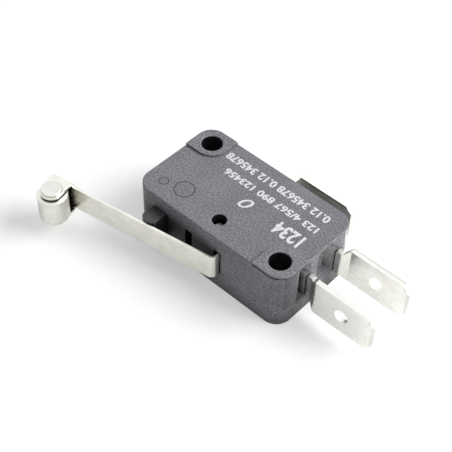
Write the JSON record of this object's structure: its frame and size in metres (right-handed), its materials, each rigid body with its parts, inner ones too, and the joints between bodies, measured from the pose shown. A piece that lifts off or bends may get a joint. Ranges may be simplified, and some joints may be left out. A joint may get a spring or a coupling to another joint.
{
  "type": "lever micro switch",
  "caption": "Snap-action micro switch with a hinged roller lever, flat case, mounting holes and blade terminals.",
  "frame": {"origin": "centre of the case's back face", "axes": "+X along the case towards the two end terminals, +Y away from the plunger and lever side, +Z out of the printed face, along the mounting holes"},
  "size_m": [0.0513, 0.03, 0.0103],
  "materials": {
    "case_plastic": "fine grain moulded dark grey phenolic",
    "white_print": "thin matt white pad print on the case's face",
    "cover_plastic": "fine grain moulded dark grey phenolic, smoother post",
    "plunger_plastic": "smooth dark moulded nylon",
    "stainless_sheet": "rolled stainless strip, bright edges",
    "stainless_roller": "turned stainless steel",
    "stainless_pin": "turned stainless steel, riveted ends",
    "plated_brass": "stamped brass sheet, nickel plated",
    "silver_contact": "silver faced rivet",
    "spring_copper": "rolled beryllium copper strip",
    "spring_wire": "drawn music wire"
  },
  "bodies": {
    "switch_body": {"case": "case_plastic", "back_cover": "cover_plastic", "com_terminal": "plated_brass", "no_terminal": "plated_brass", "nc_terminal": "plated_brass", "no_contact": "silver_contact", "nc_contact": "silver_contact"},
    "lever_body": {"lever": "stainless_sheet", "roller_pin": "stainless_pin"},
    "roller_body": {"roller": "stainless_roller"},
    "plunger_body": {"plunger": "plunger_plastic"},
    "arm_body": {"contact_arm": "spring_copper", "moving_contact": "silver_contact"},
    "spring_body": {"spring": "spring_wire"}
  },
  "joints": [
    {"name": "lever_hinge", "type": "hinge", "parent": "switch_body", "child": "lever_body", "pos_m": [0.0026, -0.00605, 0.00515], "axis": [0, 0, -1], "range_deg": [0, 9], "stiffness_Nm_per_rad": 0.02, "springref_deg": -5.73},
    {"name": "roller_spin", "type": "hinge", "parent": "lever_body", "child": "roller_body", "pos_m": [-0.02264, -0.01639, 0.00515], "axis": [0, 0, 1], "continuous": true},
    {"name": "plunger_slide", "type": "slide", "parent": "switch_body", "child": "plunger_body", "axis": [0, 1, 0], "range_m": [0, 0.00185]},
    {"name": "arm_pivot", "type": "hinge", "parent": "switch_body", "child": "arm_body", "pos_m": [-0.00566, -0.0004, 0.00515], "axis": [0, 0, 1], "range_deg": [0, 3.1]},
    {"name": "spring_swing", "type": "hinge", "parent": "arm_body", "child": "spring_body", "pos_m": [0.0042, -0.0004, 0.00515], "axis": [0, 0, -1], "range_deg": [0, 9]}
  ],
  "couplings": [
    {"joint": "plunger_slide", "follows": "lever_hinge", "m_per_rad": 0.0117},
    {"joint": "arm_pivot", "follows": "lever_hinge", "ratio": 0.34},
    {"joint": "spring_swing", "follows": "lever_hinge", "ratio": 0.9867}
  ]
}
